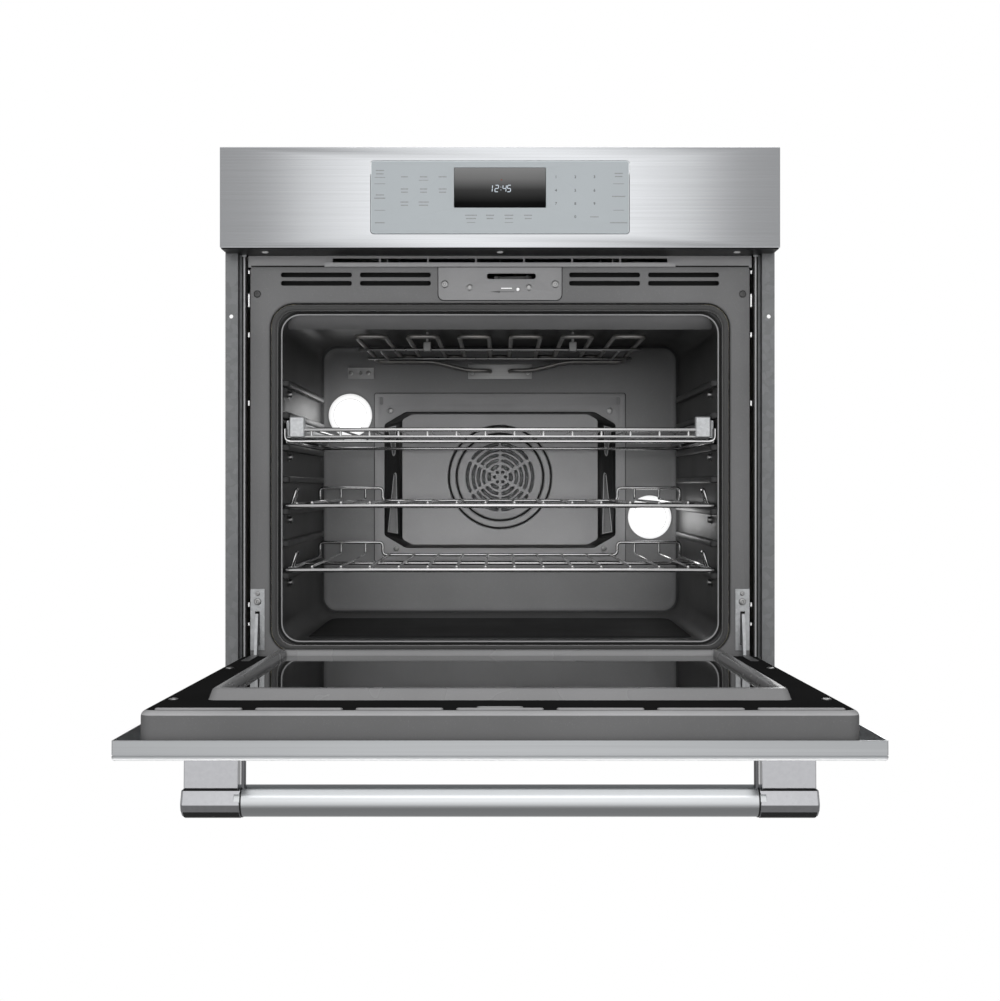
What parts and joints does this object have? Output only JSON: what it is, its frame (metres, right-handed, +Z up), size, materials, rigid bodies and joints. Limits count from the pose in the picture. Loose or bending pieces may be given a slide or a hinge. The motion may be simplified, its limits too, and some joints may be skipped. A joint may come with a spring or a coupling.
{
  "type": "built-in wall oven",
  "caption": "Built-in electric wall oven with a drop-down door shown open, pull-out wire racks, a covered convection fan, broil and bake elements, and a fascia with a touch panel.",
  "frame": {"origin": "the middle of the flat underside of the base pan, where the oven stands on the cabinet's shelf", "axes": "+X is the oven's right side seen from the front, +Y runs back into the cabinet, +Z is up; the door opens towards -Y"},
  "size_m": [0.756, 1.1602, 0.7932],
  "materials": {
    "stainless": "brushed",
    "handle_metal": "satin",
    "handle_cap": "polished",
    "galvanised": "zinc plated, dull",
    "grey_enamel": "porcelain enamel, glossy, fine speckle",
    "black_enamel": "porcelain enamel, glossy",
    "latch_metal": "satin",
    "element_metal": "dull, heat-tinted",
    "seal": "matte, woven",
    "mineral_wool": "matte fibre",
    "lamp_glass": "clear, lit",
    "dark_glass": "gloss",
    "silver_glass": "satin",
    "circuit_board": "matte",
    "plunger": "matte",
    "rack_chrome": "polished wire"
  },
  "bodies": {
    "oven_body": {"base_pan": "galvanised", "side_panel_left": "galvanised", "side_panel_right": "galvanised", "top_cover": "galvanised", "rear_panel": "galvanised", "side_trim_left": "galvanised", "side_trim_right": "galvanised", "bottom_trim": "stainless", "front_frame": "grey_enamel", "vent_grille": "grey_enamel", "latch_plate": "latch_metal", "latch_motor": "galvanised", "oven_cavity": "grey_enamel", "cavity_seal": "seal", "insulation_wrap": "mineral_wool", "bake_element": "element_metal", "broil_element": "element_metal", "broil_support": "element_metal", "temperature_probe": "latch_metal", "fan_cover": "grey_enamel", "convection_element": "element_metal", "convection_motor": "galvanised", "lamp_lens_upper": "lamp_glass", "lamp_lens_lower": "lamp_glass", "lamp_housing_upper": "galvanised", "lamp_housing_lower": "galvanised", "lamp_bulb_upper": "lamp_glass", "lamp_bulb_lower": "lamp_glass", "control_fascia": "stainless", "touch_panel": "silver_glass", "display_window": "dark_glass", "control_board": "circuit_board", "fascia_bracket": "galvanised", "blower_housing": "galvanised", "blower_motor": "galvanised", "junction_box": "galvanised", "hinge_claw_left": "galvanised", "hinge_claw_right": "galvanised", "hinge_receiver_left": "galvanised", "hinge_receiver_right": "galvanised", "upper_rack_frame": "rack_chrome"},
    "door": {"door_skin": "stainless", "door_outer_glass": "dark_glass", "door_inner_glass": "dark_glass", "door_liner": "black_enamel", "glass_frame": "grey_enamel", "handle_bar": "handle_metal", "handle_post_left": "handle_cap", "handle_post_right": "handle_cap", "hinge_channel_left": "galvanised", "hinge_channel_right": "galvanised"},
    "latch": {"latch_hook": "latch_metal"},
    "door_switch": {"switch_plunger": "plunger"},
    "fan": {"convection_fan": "galvanised"},
    "blower": {"blower_wheel": "galvanised"},
    "rack_deck": {"upper_rack_deck": "rack_chrome"},
    "rack_centre": {"middle_rack": "rack_chrome"},
    "rack_bottom": {"lower_rack": "rack_chrome"},
    "slide_left": {"slide_member_left": "rack_chrome"},
    "slide_right": {"slide_member_right": "rack_chrome"}
  },
  "joints": [
    {"name": "door_hinge", "type": "hinge", "parent": "oven_body", "child": "door", "pos_m": [0, -0.2905, 0.0383], "axis": [-1, 0, 0], "range_deg": [0, 88.6]},
    {"name": "lower_rack_slide", "type": "slide", "parent": "oven_body", "child": "rack_bottom", "axis": [0, 1, 0], "range_m": [-0.26, 0]},
    {"name": "middle_rack_slide", "type": "slide", "parent": "oven_body", "child": "rack_centre", "axis": [0, 1, 0], "range_m": [-0.26, 0]},
    {"name": "upper_deck_slide", "type": "slide", "parent": "oven_body", "child": "rack_deck", "axis": [0, 1, 0], "range_m": [-0.34, 0]},
    {"name": "slide_left_travel", "type": "slide", "parent": "oven_body", "child": "slide_left", "axis": [0, 1, 0], "range_m": [-0.17, 0]},
    {"name": "slide_right_travel", "type": "slide", "parent": "oven_body", "child": "slide_right", "axis": [0, 1, 0], "range_m": [-0.17, 0]},
    {"name": "latch_turn", "type": "hinge", "parent": "oven_body", "child": "latch", "pos_m": [0.038, -0.261, 0.573], "axis": [0, 0, 1], "range_deg": [0, 34]},
    {"name": "switch_press", "type": "slide", "parent": "oven_body", "child": "door_switch", "axis": [0, 1, 0], "range_m": [0, 0.002], "stiffness_N_per_m": 400, "springref_m": -0.001},
    {"name": "fan_spin", "type": "hinge", "parent": "oven_body", "child": "fan", "pos_m": [0, 0.163, 0.297], "axis": [0, 1, 0], "continuous": true},
    {"name": "blower_spin", "type": "hinge", "parent": "oven_body", "child": "blower", "pos_m": [0, -0.097, 0.632], "axis": [1, 0, 0], "continuous": true}
  ],
  "couplings": [
    {"joint": "slide_left_travel", "follows": "upper_deck_slide", "ratio": 0.5},
    {"joint": "slide_right_travel", "follows": "upper_deck_slide", "ratio": 0.5}
  ]
}
